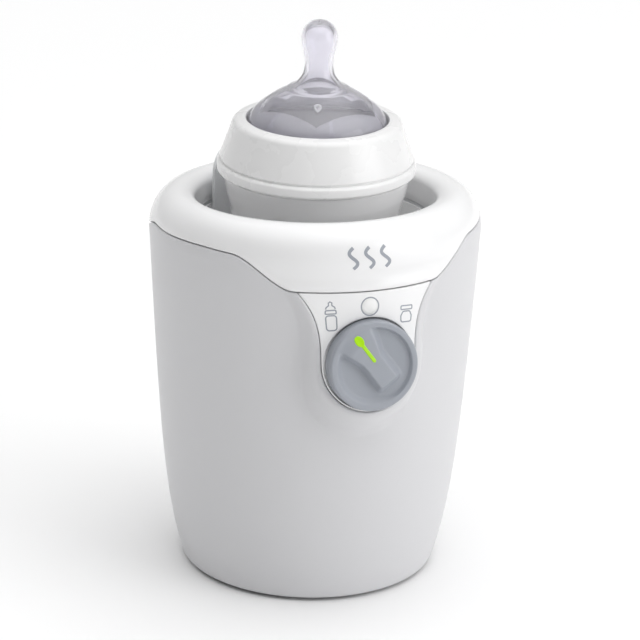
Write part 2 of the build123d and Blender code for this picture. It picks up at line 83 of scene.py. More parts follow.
# ---- Driving dimensions, mm ----
RIM_RADIUS = 54.9          # the body where the collar's crown begins
RIM_HEIGHT = 118.0
CROWN_RADIUS = 45.5        # top of the crown
CROWN_HEIGHT = 130.8
CROWN_SLOPE = 0.058        # the crown is higher at the front
CROWN_ARC = 17.0           # length of the crown's curve, from the rim to its top
CROWN_LIP = 3.8            # height of the roll from the crown down into the well
WELL_RADIUS = 39.8
WELL_LEDGE = 119.0         # lower end of the collar's throat
WALL = 2.5
SEAM = 0.17                # half of the gap between two shells
SEAM_FRONT = 113.5
SEAM_SIDE = 123.2
SEAM_BACK = 115.0
KNOB_HEIGHT = 90.2
PANEL_TILT = math.radians(7)
PANEL_RADIUS = 58.4        # the panel's face at the knob's height
PANEL_HALF_WIDTH = 15.8
PANEL_FLARE = 6.6          # widening of each side at PANEL_RISE above the knob
PANEL_RISE = 23
FLANK = 5.5                # width of the slope from the panel down to the body
POCKET_RADIUS = 15.05
LENS_HEIGHT = 108.8
BASE_HEIGHT = 1.2
BASKET_RADIUS = 38.4
BASKET_WALL = 1.2
TAB_ANGLE = math.radians(-146)
TAB_HALF_WIDTH = 8.0
PETAL_START = math.radians(16)
VENT_ANGLE = math.radians(-19)


# ---- Mesh helpers ----
def mesh_object(name, points, faces, smooth=True):
    mesh = bpy.data.meshes.new(name)
    mesh.from_pydata([tuple(p) for p in np.asarray(points, float) * MM], [], faces)
    mesh.validate()
    for polygon in mesh.polygons:
        polygon.use_smooth = smooth
    obj = bpy.data.objects.new(name, mesh)
    bpy.context.scene.collection.objects.link(obj)
    return obj


def grid(name, rows, ring=True, loop=False):
    """Quads between rows of points. ring joins each row's ends, loop joins the last row to the first."""
    rows = [np.asarray(r, float) for r in rows]
    count = len(rows[0])
    faces = []
    pairs = list(zip(range(len(rows)), range(1, len(rows)))) + ([(len(rows) - 1, 0)] if loop else [])
    for a, b in pairs:
        for i in range(count if ring else count - 1):
            j = (i + 1) % count
            faces.append((a * count + i, a * count + j, b * count + j, b * count + i))
    return mesh_object(name, np.concatenate(rows), faces)


def outward_normals(obj):
    """Makes every face of a closed mesh look outwards."""
    work = bmesh.new()
    work.from_mesh(obj.data)
    bmesh.ops.remove_doubles(work, verts=work.verts, dist=1e-7)
    bmesh.ops.recalc_face_normals(work, faces=work.faces)
    work.to_mesh(obj.data)
    work.free()
    return obj


def smooth_step(t):
    t = np.clip(t, 0.0, 1.0)
    return t * t * (3 - 2 * t)


def rounded(points, radii, steps=6):
    """A closed outline with each corner turned into an arc of its own radius."""
    made = []
    count = len(points)
    for i, (corner, radius) in enumerate(zip(points, radii)):
        p = np.array(corner, float)
        before = np.array(points[i - 1], float) - p
        after = np.array(points[(i + 1) % count], float) - p
        a, b = np.linalg.norm(before), np.linalg.norm(after)
        if radius <= 0:
            made.append(p)
            continue
        before, after = before / a, after / b
        half = math.acos(float(np.clip(before @ after, -1, 1))) / 2
        if half > math.pi / 2 - 0.02:
            made.append(p)
            continue
        reach = min(radius / math.tan(half), 0.49 * a, 0.49 * b)
        size = reach * math.tan(half)
        bisector = (before + after) / np.linalg.norm(before + after)
        centre = p + bisector * size / math.sin(half)
        start, end = p + before * reach - centre, p + after * reach - centre
        turn = math.atan2(start[0] * end[1] - start[1] * end[0], start @ end)
        for k in range(steps + 1):
            c, s = math.cos(turn * k / steps), math.sin(turn * k / steps)
            made.append(centre + np.array([c * start[0] - s * start[1], s * start[0] + c * start[1]]))
    return made


def lathe(name, outline, segments=160, wave=None):
    """A closed (radius, height) outline turned about the Z axis. wave(angle, r, z) may shift it."""
    angles = np.linspace(0, 2 * math.pi, segments, endpoint=False)
    rows = []
    for r, z in outline:
        radius, height = np.full(segments, max(r, 1e-4)), np.full(segments, float(z))
        if wave:
            radius, height = wave(angles, radius, height)
        rows.append(np.stack([radius * np.cos(angles), radius * np.sin(angles), height], 1))
    return outward_normals(grid(name, rows, loop=True))


def spline(points, count):
    """Evenly spaced points on a smooth curve through a few points."""
    p = np.array(points, float)
    p = np.vstack([2 * p[0] - p[1], p, 2 * p[-1] - p[-2]])
    made = []
    for i in range(1, len(p) - 2):
        for t in np.linspace(0, 1, 24, endpoint=False):
            a, b, c, d = p[i - 1], p[i], p[i + 1], p[i + 2]
            made.append(0.5 * (2 * b + (c - a) * t + (2 * a - 5 * b + 4 * c - d) * t**2
                               + (3 * b - a - 3 * c + d) * t**3))
    made.append(p[-2])
    return resample(np.array(made), count)


def resample(line, count):
    steps = np.r_[0, np.cumsum(np.linalg.norm(np.diff(line, axis=0), axis=1))]
    at = np.linspace(0, steps[-1], count)
    return np.stack([np.interp(at, steps, line[:, k]) for k in range(line.shape[1])], 1)


def place(obj, body, slot, *nodes):
    if nodes:
        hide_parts(*nodes)
    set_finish(obj, slot)
    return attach(obj, body)


# ---- The outer surface: a tapered round body with the panel's shield raised out of it ----
def body_radius(z):
    return RIM_RADIUS - 0.052 * (RIM_HEIGHT - z) - 6.3 * np.exp(-z / 23)


def panel_radius(z):
    return PANEL_RADIUS + (KNOB_HEIGHT - z) * math.tan(PANEL_TILT)


def panel_half_width(z):
    return PANEL_HALF_WIDTH + PANEL_FLARE * np.maximum(z - KNOB_HEIGHT, 0) ** 3 / PANEL_RISE**3


def shield(x, z):
    """1 on the panel's face, falling smoothly to 0 where its flank meets the body."""
    reach = np.hypot(x, z - KNOB_HEIGHT)
    upper = z >= KNOB_HEIGHT
    outside = np.where(upper, np.abs(x) - panel_half_width(z), reach - PANEL_HALF_WIDTH)
    lower = FLANK + 7.0 * ((KNOB_HEIGHT - z) / np.maximum(reach, 1e-6)) ** 2
    flank = np.where(upper, FLANK, lower)
    fade = np.where(upper, 1 - smooth_step((z - SEAM_FRONT) / 3.6), 1)
    return fade * (1 - smooth_step(outside / flank))


def wall_radius(angle, z):
    base = body_radius(z)
    raised = base + (panel_radius(z) - base) * shield(base * np.sin(angle), z)
    return np.where(np.abs(angle) < math.pi / 3, raised, base)


def outer_point(angle, q):
    """Radius and height at angle, for q from 0 at the floor to RIM_HEIGHT + CROWN_ARC on top."""
    t = np.clip((q - RIM_HEIGHT) / CROWN_ARC, 0, 1) * math.pi / 2
    low = np.minimum(q, RIM_HEIGHT)
    crown = CROWN_RADIUS + (RIM_RADIUS - CROWN_RADIUS) * np.cos(t)
    radius = np.where(q <= RIM_HEIGHT, wall_radius(angle, low), crown)
    level = np.where(q <= RIM_HEIGHT, low, RIM_HEIGHT + (CROWN_HEIGHT - RIM_HEIGHT) * np.sin(t))
    slope = CROWN_SLOPE * smooth_step((level - 104) / 22)
    return radius, level + slope * radius * np.cos(angle)


def level_of(angle, z):
    """The q at which the outer surface reaches height z."""
    low, high = np.full_like(angle, 0.0), np.full_like(angle, RIM_HEIGHT + CROWN_ARC)
    for _ in range(40):
        middle = (low + high) / 2
        above = outer_point(angle, middle)[1] > z
        high, low = np.where(above, middle, high), np.where(above, low, middle)
    return (low + high) / 2


def around_axis(angle, radius, height):
    return np.stack([radius * np.sin(angle), -radius * np.cos(angle), height], 1)


def on_surface(angle, z, depth=0.0):
    radius, _ = outer_point(angle, level_of(angle, z))
    return around_axis(angle, radius - depth, z)


# ---- Seams: lines in (angle, height) round the body ----
def seam_height(angle):
    x = np.abs(RIM_RADIUS * np.sin(angle))
    y = np.maximum(-RIM_RADIUS * np.cos(angle), 0)
    front = SEAM_FRONT + smooth_step((x - 24.0) / 17.0) * (SEAM_SIDE - SEAM_FRONT)
    front = front - 1.4 * (np.maximum(x - 46, 0) / 9) ** 2
    side = SEAM_SIDE - 1.4
    return np.where(np.abs(angle) <= math.pi / 2, front, side - (side - SEAM_BACK) * smooth_step(y / 27))


def mirrored(half):
    """A line from the front to the back on the right, closed into a ring from back to back."""
    left = half[::-1] * np.array([-1, 1])
    return np.vstack([left[:-1], half[:-1]])


def paced(line, fine, coarse, focus):
    """Resamples an (angle, height) line: fine steps where focus is true, coarse elsewhere."""
    flat = line * np.array([RIM_RADIUS, 1.0])
    steps = np.linalg.norm(np.diff(flat, axis=0), axis=1)
    wanted = np.where(focus(line[:-1]), fine, coarse)
    number = np.r_[0, np.cumsum(steps / wanted)]
    at = np.linspace(0, number[-1], int(number[-1]) + 1)
    return np.stack([np.interp(at, number, line[:, k]) for k in range(2)], 1)


def relaxed(line, passes):
    line = line.copy()
    for _ in range(passes):
        line[1:-1] = 0.25 * line[:-2] + 0.5 * line[1:-1] + 0.25 * line[2:]
    return line


def inward(line, sign):
    """Unit vectors across a closed (angle, height) line, in (angle, height) per millimetre."""
    flat = line * np.array([RIM_RADIUS, 1.0])
    along = np.roll(flat, -1, 0) - np.roll(flat, 1, 0)
    wrap = np.abs(along[:, 0]) > math.pi * RIM_RADIUS
    along[wrap] = (1, 0)
    along /= np.linalg.norm(along, axis=1)[:, None]
    across = np.stack([along[:, 1], -along[:, 0]], 1) * sign
    return across / np.array([RIM_RADIUS, 1.0])


def housing_edge():
    """The housing's upper edge: round the panel's shield, then along the collar's seam."""
    turn = np.linspace(-math.pi / 2, 0, 60)
    x = (PANEL_HALF_WIDTH + SEAM) * np.cos(turn)
    z = KNOB_HEIGHT + (PANEL_HALF_WIDTH + SEAM) * np.sin(turn)
    rise = np.linspace(KNOB_HEIGHT, SEAM_FRONT - SEAM, 80)[1:]
    x = np.r_[x, panel_half_width(rise) + SEAM]
    z = np.r_[z, rise]
    notch = np.stack([np.arcsin(x / panel_radius(z)), z], 1)
    rest = np.linspace(notch[-1, 0] + 0.01, math.pi, 400)
    half = np.vstack([notch, np.stack([rest, seam_height(rest) - SEAM], 1)])
    half = paced(half, 0.45, 1.6, lambda p: p[:, 0] < 0.95)
    return mirrored(relaxed(half, 2))


ROUND_STEPS = [math.radians(a) for a in (0, 18, 36, 54, 72, 90)]


def edge_rows(line, sign, radius, wall):
    """Rows over a shell's rounded edge, from inside the wall to the outer surface."""
    across = inward(line, sign)
    rows = [on_surface(line[:, 0], line[:, 1], wall)]
    for t in ROUND_STEPS:
        at = line + across * radius * (1 - math.cos(t))
        rows.append(on_surface(at[:, 0], at[:, 1], radius * (1 - math.sin(t))))
    return rows, line + across * radius


def make_housing():
    edge = housing_edge()
    rows, top = edge_rows(edge, 1, 0.45, WALL)
    outer = []
    foot = np.stack([edge[:, 0], np.full(len(edge), BASE_HEIGHT + 1.0)], 1)
    for k in range(1, 111):
        share = (k / 110) ** 1.35
        at = top + (foot - top) * share
        outer.append(on_surface(at[:, 0], at[:, 1]))
    lip = []
    for t in ROUND_STEPS[1:]:
        z = BASE_HEIGHT + 1.0 - math.sin(t)
        radius = wall_radius(edge[:, 0], z) - (1 - math.cos(t))
        lip.append(around_axis(edge[:, 0], radius, np.full(len(edge), z)))
    inner = []
    for k in range(14):
        share = k / 14
        at = foot + (edge - foot) * share
        inner.append(on_surface(at[:, 0], at[:, 1], WALL))
    inner[0][:, 2] = BASE_HEIGHT
    obj = outward_normals(grid("housing_shell", rows + outer + lip + inner, loop=True))
    return place(obj, "warmer", "housing_white", "outer_housing")


def make_collar():
    half = np.linspace(0, math.pi, 1200)
    half = np.stack([half, seam_height(half) + SEAM], 1)
    half = paced(half, 0.8, 1.6, lambda p: p[:, 0] < 0.95)
    line = mirrored(half)
    rows, start = edge_rows(line, -1, 0.7, WALL)
    angle = start[:, 0]
    q_start = level_of(angle, start[:, 1])
    q_end = RIM_HEIGHT + CROWN_ARC
    for k in range(1, 49):
        radius, height = outer_point(angle, q_start + (q_end - q_start) * k / 48)
        rows.append(around_axis(angle, radius, height))
    reach = CROWN_RADIUS - WELL_RADIUS
    for k in range(1, 15):
        t = math.pi / 2 * (1 - k / 14)
        radius = np.full(len(angle), WELL_RADIUS + reach * (1 - math.cos(t)))
        level = CROWN_HEIGHT - CROWN_LIP + CROWN_LIP * math.sin(t)
        rows.append(around_axis(angle, radius, level + CROWN_SLOPE * radius * np.cos(angle)))
    for radius, level in ((WELL_RADIUS, 122.0), (WELL_RADIUS, WELL_LEDGE + 0.4),
                          (WELL_RADIUS + 0.4, WELL_LEDGE), (WELL_RADIUS + 2.4, WELL_LEDGE),
                          (WELL_RADIUS + 2.4, 124.0), (49.5, 124.6)):
        rows.append(around_axis(angle, np.full(len(angle), radius), np.full(len(angle), level)))
    obj = outward_normals(grid("collar_shell", rows, loop=True))
    return place(obj, "warmer", "collar_white", "top_collar")


# ---- Control panel ----
def panel_points(x, z, depth=0.0):
    radius = panel_radius(z) - depth
    return np.stack([x, -np.sqrt(radius**2 - x**2), z], 1)


def selector_points(x, y, w):
    """Points given on the knob's own axes: x to the right, y up the panel, w out of it."""
    c, s = math.cos(PANEL_TILT), math.sin(PANEL_TILT)
    return np.stack([x, -panel_radius(KNOB_HEIGHT) + s * y - c * w, KNOB_HEIGHT + c * y + s * w], 1)


def panel_outline(turn):
    """Distance from the knob's axis to the panel's edge, at each angle from straight up."""
    limit = PANEL_HALF_WIDTH - SEAM
    top = SEAM_FRONT - SEAM - KNOB_HEIGHT
    low, high = np.full_like(turn, 1.0), np.full_like(turn, 60.0)
    for _ in range(40):
        middle = (low + high) / 2
        x, z = middle * np.abs(np.sin(turn)), middle * np.cos(turn)
        round_side = np.sqrt(np.maximum(limit**2 - z**2, 0))
        side = np.where(z > 0, panel_half_width(KNOB_HEIGHT + z) - SEAM, round_side)
        outside = (x > side) | (z > top)
        high, low = np.where(outside, middle, high), np.where(outside, low, middle)
    return (low + high) / 2


def make_panel():
    turn = np.linspace(-math.pi, math.pi, 4000, endpoint=False)
    reach = panel_outline(turn)
    ring = np.stack([reach * np.sin(turn), reach * np.cos(turn)], 1)
    ring = resample(np.vstack([ring, ring[:1]]), 361)
    for _ in range(3):
        body = ring[:-1]
        body = 0.25 * np.roll(body, 1, 0) + 0.5 * body + 0.25 * np.roll(body, -1, 0)
        ring = np.vstack([body, body[:1]])
    ring = ring[:-1]
    along = np.roll(ring, -1, 0) - np.roll(ring, 1, 0)
    along /= np.linalg.norm(along, axis=1)[:, None]
    across = np.stack([-along[:, 1], along[:, 0]], 1)
    across *= np.sign(-(across * ring).sum(1))[:, None]
    turn = np.arctan2(ring[:, 0], ring[:, 1])
    pocket = np.stack([POCKET_RADIUS * np.sin(turn), POCKET_RADIUS * np.cos(turn)], 1)

    def face(at, depth=0.0):
        return panel_points(at[:, 0], KNOB_HEIGHT + at[:, 1], depth)

    edge = 0.3
    rows = [face(ring, 2.2)]
    for t in ROUND_STEPS:
        rows.append(face(ring + across * edge * (1 - math.cos(t)), edge * (1 - math.sin(t))))
    rim = ring + across * edge
    brink = pocket * (POCKET_RADIUS + 0.25) / POCKET_RADIUS
    for k in range(1, 25):
        rows.append(face(rim + (brink - rim) * (k / 24)))
    rows.append(face(pocket * (POCKET_RADIUS + 0.07) / POCKET_RADIUS, 0.07))
    rows.append(face(pocket, 0.25))
    for radius, w in ((POCKET_RADIUS, -2.1), (POCKET_RADIUS - 0.3, -2.3), (8, -2.3),
                      (4.2, -2.3), (4.2, -4), (15.2, -4)):
        at = pocket / POCKET_RADIUS * radius
        rows.append(selector_points(at[:, 0], at[:, 1], np.full(len(at), w)))
    obj = outward_normals(grid("panel_face", rows, loop=True))
    return place(obj, "warmer", "collar_white", "control_panel")


# ---- Selector knob ----
KNOB_RADIUS = 14.65
KNOB_RIM = 4.0             # height of the rim above the panel
KNOB_DISH = 2.3            # height of the dish at its middle
KNOB_BAR = 5.2             # height of the finger bar
DISH_EDGE = 12.9
BAR_LEFT = 4.3
BAR_RIGHT = 6.3
BAR_TAIL = 9.5             # the bar's lower end, from the knob's middle
BAR_REACH = 13.4           # where the bar's top has come down to the rim
KNOB_FOOT = -1.8
POINTER_ANGLE = math.radians(36)
POINTER_SIDE = 0.9         # the pointer lies this far to the right of the bar's middle


def bar_axes(x, y):
    """Coordinates across (u) and along (v) the finger bar, from the knob's own x and y."""
    c, s = math.cos(POINTER_ANGLE), math.sin(POINTER_ANGLE)
    return c * x + s * y, c * y - s * x


def knob_xy(u, v):
    c, s = math.cos(POINTER_ANGLE), math.sin(POINTER_ANGLE)
    return c * u - s * v, s * u + c * v


def knob_height(x, y):
    """A rim round a dish, with a finger bar that is steep on its left and easy on its right."""
    u, v = bar_axes(x, y)
    reach = np.hypot(x, y)
    bank = 0.9 + 1.6 * smooth_step((3 - u) / 10)
    dish = KNOB_DISH + 0.35 * (reach / 12) ** 2
    floor = KNOB_RIM + (dish - KNOB_RIM) * smooth_step((DISH_EDGE - reach) / bank)
    left = smooth_step((u + BAR_LEFT + 0.35 * np.maximum(v - 3, 0)) / 1.9)
    right = smooth_step((BAR_RIGHT + 0.3 * np.maximum(v - 2, 0) - u) / 3.2)
    tail = smooth_step((v + BAR_TAIL) / 3.0)
    ease = smooth_step((BAR_REACH - reach) / 5.0)
    top = KNOB_RIM + (KNOB_BAR - KNOB_RIM) * ease
    return floor + np.maximum(top - floor, 0) * left * right * tail


def make_knob():
    turn = np.linspace(0, 2 * math.pi, 288, endpoint=False)

    def ring(radius, w):
        x, y = radius * np.sin(turn), radius * np.cos(turn)
        return selector_points(x, y, np.full(len(turn), float(w)))

    rows = [ring(0.05, KNOB_FOOT), ring(12, KNOB_FOOT), ring(KNOB_RADIUS - 0.4, KNOB_FOOT),
            ring(KNOB_RADIUS, KNOB_FOOT + 0.4), ring(KNOB_RADIUS, KNOB_RIM - 0.8)]
    for t in ROUND_STEPS:
        rows.append(ring(KNOB_RADIUS - 0.7 * (1 - math.cos(t)), KNOB_RIM - 0.7 + 0.7 * math.sin(t)))
    for radius in np.linspace(KNOB_RADIUS - 0.8, 0.05, 92):
        x, y = radius * np.sin(turn), radius * np.cos(turn)
        rows.append(selector_points(x, y, knob_height(x, y)))
    obj = outward_normals(grid("selector_knob", rows))
    return place(obj, "knob", "knob_grey", "control_knob")


def make_pointer():
    """A spoon-shaped inlay on the bar: a dished bowl and a tapering stem."""
    rows = []
    for v in spline([(12.1, 0), (10.3, 0), (8.4, 0), (5, 0), (1.6, 0)], 70)[:, 0]:
        bowl = math.sqrt(max(1 - ((v - 10.3) / 1.85) ** 2, 0)) * 1.4
        stem = 0.62 * math.sqrt(min(max(v - 1.55, 0) / 0.5, 1)) if v < 9.6 else 0
        half = max(bowl, stem, 0.02)
        side = np.linspace(-1, 1, 17)
        u = POINTER_SIDE + side * half
        x, y = knob_xy(u, np.full(len(u), v))
        dish = 0.22 * (bowl / 1.4) ** 2 * (1 - side**2)
        crown = 0.22 * np.sqrt(np.maximum(1 - side**4, 0)) - dish
        top = selector_points(x, y, knob_height(x, y) + crown)
        under = selector_points(x, y, knob_height(x, y) - 0.5)
        rows.append(np.vstack([top, under[::-1]]))
    obj = outward_normals(grid("spoon_pointer", rows))
    return place(obj, "knob", "pointer_green", "knob_pointer")


# ---- Printed marks ----
def ribbon(name, lines, width, place_at, height=0.03):
    """Flat printed strokes: each line is (points, closed) in the marks' own plane."""
    points, faces = [], []
    for line, closed in lines:
        line = np.array(line, float)
        nxt = np.roll(line, -1, 0) if closed else np.vstack([line[1:], 2 * line[-1:] - line[-2:-1]])
        prv = np.roll(line, 1, 0) if closed else np.vstack([2 * line[:1] - line[1:2], line[:-1]])
        along = nxt - prv
        along /= np.maximum(np.linalg.norm(along, axis=1), 1e-9)[:, None]
        across = np.stack([-along[:, 1], along[:, 0]], 1) * width / 2
        start, count = len(points), len(line)
        sides = [place_at(line + across, height), place_at(line - across, height),
                 place_at(line - across, -0.05), place_at(line + across, -0.05)]
        for i in range(count):
            points += [sides[k][i] for k in range(4)]
        for i in range(count if closed else count - 1):
            j = (i + 1) % count
            for k in range(4):
                m = (k + 1) % 4
                a, b = start + 4 * i, start + 4 * j
                faces.append((a + k, b + k, b + m, a + m))
        if not closed:
            faces.append(tuple(start + k for k in range(4)))
            faces.append(tuple(start + 4 * (count - 1) + k for k in range(3, -1, -1)))
    return outward_normals(mesh_object(name, points, faces, smooth=False))


def on_panel(at, height):
    return panel_points(at[:, 0], at[:, 1], -height)


def on_apron(at, height):
    angle = np.arcsin(at[:, 0] / 53.0)
    return on_surface(angle, at[:, 1], -height)


def arc_points(centre, radius, start, end, count=24):
    turn = np.radians(np.linspace(start, end, count))
    return [(centre[0] + radius * math.cos(t), centre[1] + radius * math.sin(t)) for t in turn]


def shifted(lines, x, z, turn=0.0):
    c, s = math.cos(math.radians(turn)), math.sin(math.radians(turn))
    moved = []
    for line, closed in lines:
        moved.append(([(x + c * a - s * b, z + s * a + c * b) for a, b in line], closed))
    return moved


def smooth_outline(points, radius):
    return [tuple(p) for p in rounded(points, [radius] * len(points), 5)]


def bottle_mark():
    body = smooth_outline([(-1.6, -4.6), (1.6, -4.6), (1.7, 0.2), (-1.7, 0.2)], 0.9)
    ring = smooth_outline([(-1.75, 0.75), (1.75, 0.75), (1.6, 1.9), (-1.6, 1.9)], 0.3)
    teat = [(-1.5, 2.3), (-1.3, 2.9), (-0.5, 3.5), (-0.55, 4.3), (0, 4.7), (0.55, 4.3), (0.5, 3.5),
            (1.3, 2.9), (1.5, 2.3)]
    return [(body, True), (ring, True), (teat, False)]


def jar_mark():
    body = smooth_outline([(-1.2, 0.7), (-1.9, -0.7), (-1.8, -2.7),
                           (1.8, -2.7), (1.9, -0.7), (1.2, 0.7)], 0.7)
    lid = smooth_outline([(-2.0, 1.3), (2.0, 1.3), (2.0, 2.5), (-2.0, 2.5)], 0.3)
    return [(body, True), (lid, True)]


def make_marks():
    lines = shifted(bottle_mark(), -12.6, 106.2, 3) + shifted(jar_mark(), 12.6, 105.0, -4)
    lines.append((arc_points((0, LENS_HEIGHT), 2.9, 0, 345, 48), True))
    marks = ribbon("panel_marks", lines, 0.42, on_panel)
    place(marks, "warmer", "knob_grey")
    steam = []
    for x in (-5.2, 0, 5.2):
        wave = [(x + 1.3 * math.sin(k / 24 * 2 * math.pi), 121.2 + 6.6 * k / 24) for k in range(25)]
        steam.append((wave, False))
    emblem = ribbon("steam_emblem", steam, 1.05, on_apron)
    place(emblem, "warmer", "knob_grey")


def make_lens():
    turn = np.linspace(0, 2 * math.pi, 96, endpoint=False)
    rows = []
    for radius, rise in ((2.55, -1.2), (2.55, 0.0), (2.5, 0.05), (2.2, 0.12),
                         (1.6, 0.2), (0.9, 0.25), (0.02, 0.27)):
        x, z = radius * np.sin(turn), LENS_HEIGHT + radius * np.cos(turn)
        rows.append(panel_points(x, z, -rise))
    obj = outward_normals(grid("indicator_lens", rows))
    return place(obj, "warmer", "lens_white", "pilot_lens")


# ---- Feeding bottle ----
def make_bottle():
    low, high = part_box("bottle_body")
    bottom, top = low.z / MM, high.z / MM
    outside = [(24.5, bottom), (28, bottom), (28, bottom + 40), (28, 108), (27.6, 116),
               (27.9, 124), (29.7, 130), (30.5, 134.6), (30.5, 136.1)]
    neck = [(26.4, 136.1), (26.4, top), (24.4, top), (24.4, 128)]
    inside = [(25.2, 124), (25.9, 116), (26.3, 108), (26.3, bottom + 40),
              (26.3, bottom + 2), (22, bottom + 2.0), (0.02, bottom + 2.8)]
    punt = [(0.02, bottom + 1.2), (18, bottom + 1.2), (20.5, bottom)]
    points = punt + outside + neck + inside
    radii = [0, 1.5, 1.5, 0, 4, 0, 20, 12, 12, 8, 6, 0.5, 0.4, 0.5, 0.9, 0.9, 10, 12, 12, 20, 0, 4, 3, 0]
    obj = lathe("bottle_shell", rounded(points, radii, 6), 192)
    return place(obj, "bottle", "bottle_clear", "bottle_body")


def make_ring():
    points = [(26.8, 136.6), (31.8, 136.5), (32.75, 137.3), (32.75, 139.8), (32.2, 140.5),
              (31.45, 140.7), (31.45, 141.2), (31.95, 141.5), (28.9, 150.0), (27.6, 154.0),
              (24.6, 154.6), (23.5, 154.6), (23.3, 151.7), (26.8, 151.7)]
    radii = [0.3, 0.8, 0.7, 0.7, 0.4, 0.2, 0.2, 0.25, 3.0, 2.6, 0.5, 0.3, 0.2, 0.3]
    obj = lathe("screw_ring", rounded(points, radii, 7), 240)
    return place(obj, "ring", "ring_white", "bottle_ring")


def make_teat():
    outer = spline([(22.9, 152.6), (22.2, 155.0), (20.4, 157.6), (17.1, 160.3),
                    (13.4, 162.8), (10.4, 164.5)], 34)
    neck = spline([(9.0, 165.2), (7.2, 166.5), (5.3, 169.2), (4.6, 172.4), (4.9, 175.6),
                   (5.7, 179.0), (5.9, 182.0), (4.9, 185.0), (2.8, 186.8), (0.02, 187.2)], 60)
    inner_neck = spline([(0.02, 185.9), (2.2, 185.6), (3.9, 184.1), (4.6, 181.7), (4.4, 178.8),
                         (3.5, 175.4), (3.2, 172.4), (3.9, 168.6), (6.4, 165.0), (8.6, 163.8)], 56)
    inner = spline([(9.6, 163.4), (13.0, 161.5), (16.4, 159.1), (19.4, 156.4),
                    (20.9, 154.2), (21.5, 151.8)], 34)
    outline = [(21.5, 149.9), (26.2, 149.9), (26.2, 151.3), (23.0, 151.3)]
    outline += [tuple(p) for p in outer] + [(9.9, 165.0)] + [tuple(p) for p in neck]
    outline += [tuple(p) for p in inner_neck] + [tuple(p) for p in inner]

    def petals(angle, radius, height):
        r, z = radius[0], height[0]
        if r > 21.4 or not 152 < z < 160 or r > 21.3 - (z - 153) * 0.6 + 0.8:
            return radius, height
        band = math.sin(math.pi * (z - 152) / 8)
        return radius - 0.5 * band * np.abs(np.cos(3 * angle + 0.3)) ** 0.7, height

    obj = lathe("silicone_teat", outline, 216, petals)
    place(obj, "teat_body", "teat_clear", "teat")
    make_petals(np.array(inner)[::-1])


def make_petals(wall):
    """The frosted, scalloped skirt inside the teat's base: the real thicker petal zones, with a grey tone
    that paints the shade of the bottle's inside seen through the teat.
    """
    turn = np.linspace(0, 2 * math.pi, 360, endpoint=False)
    top = 0.30 + 0.22 * np.abs(np.cos(2.5 * (turn - PETAL_START))) ** 0.8
    length = np.linspace(0, 1, len(wall))

    def row(share, depth):
        at = 0.04 + share * (top - 0.04)
        radius = np.interp(at, length, wall[:, 0]) - depth
        height = np.interp(at, length, wall[:, 1])
        return around_axis(turn, radius, height)

    shares = (0, 0.25, 0.5, 0.75, 1)
    rows = [row(s, 0.06) for s in shares] + [row(s, 0.36) for s in reversed(shares)]
    obj = outward_normals(grid("teat_petals", rows, loop=True))
    obj["finish"] = "teat_frost_and_painted_shade"
    return place(obj, "teat_body", "teat_clear")


def make_vent():
    """The small raised air valve on the teat's shoulder."""
    rows = []
    for share, rise in ((1.0, -0.2), (1.0, 0.12), (0.85, 0.26), (0.5, 0.30), (0.42, 0.12), (0.05, 0.08)):
        t = np.linspace(0, 2 * math.pi, 48, endpoint=False)
        x = 1.25 * share * np.sin(t) * (1 - 0.28 * np.cos(t - math.pi))
        y = 1.75 * share * np.cos(t)
        along = 14.6 - y * 0.84
        height = 161.85 + y * 0.55 + rise
        rows.append(around_axis(VENT_ANGLE + x / along, along + rise * 0.5, height))
    obj = outward_normals(grid("teat_vent", rows))
    obj["finish"] = "teat_frost_and_painted_shade"
    return place(obj, "teat_body", "teat_clear")


# ---- Lift basket ----
def make_basket_tab():
    """The basket's handle strip, with a rounded tab that stands above the collar."""
    low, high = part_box("lift_basket")
    top, bottom = high.z / MM, low.z / MM + 0.2
    half = TAB_HALF_WIDTH
    outline = [(-half, bottom), (half, bottom), (half, top), (-half, top)]
    edge = np.array(rounded(outline, [0.5, 0.5, half - 0.1, half - 0.1], 16))
    edge = resample(np.vstack([edge, edge[:1]]), 241)[:-1]
    middle = np.stack([np.zeros(len(edge)), np.clip(edge[:, 1], bottom + half, top - half)], 1)
    toward = (middle - edge) / np.maximum(np.linalg.norm(middle - edge, axis=1), 1e-6)[:, None]

    def at(points, depth):
        angle = TAB_ANGLE + points[:, 0] / BASKET_RADIUS
        return around_axis(angle, np.full(len(points), BASKET_RADIUS - depth), points[:, 1])

    bead = 0.45
    rows = []
    for t in ROUND_STEPS:
        rows.append(at(edge + toward * bead * (1 - math.cos(t)), bead * (1 - math.sin(t))))
    face = edge + toward * bead
    for share in (0.12, 0.2, 0.5, 0.98):
        rows.append(at(face + (middle - face) * share, 0.0 if share < 0.15 else 0.15))
    inner = []
    for share in (0.98, 0.5, 0.2, 0.12):
        inner.append(at(face + (middle - face) * share, BASKET_WALL - (0.0 if share < 0.15 else 0.15)))
    rows += inner
    for t in reversed(ROUND_STEPS):
        rows.append(at(edge + toward * bead * (1 - math.cos(t)), BASKET_WALL - bead * (1 - math.sin(t))))
    obj = outward_normals(grid("basket_tab", rows, loop=True))
    return place(obj, "basket", "basket_clear")


# ---- Materials ----
def node_material(name):
    material = bpy.data.materials.new(name)
    material.use_nodes = True
    nodes, links = material.node_tree.nodes, material.node_tree.links
    return material, nodes, links, nodes["Principled BSDF"]


def noise(nodes, links, scale, detail=2.0, stretch=(1, 1, 1)):
    coordinates = nodes.new("ShaderNodeTexCoord")
    mapping = nodes.new("ShaderNodeMapping")
    mapping.inputs["Scale"].default_value = stretch
    texture = nodes.new("ShaderNodeTexNoise")
    texture.inputs["Scale"].default_value = scale
    texture.inputs["Detail"].default_value = detail
    links.new(coordinates.outputs["Object"], mapping.inputs["Vector"])
    links.new(mapping.outputs["Vector"], texture.inputs["Vector"])
    return texture.outputs["Fac"]


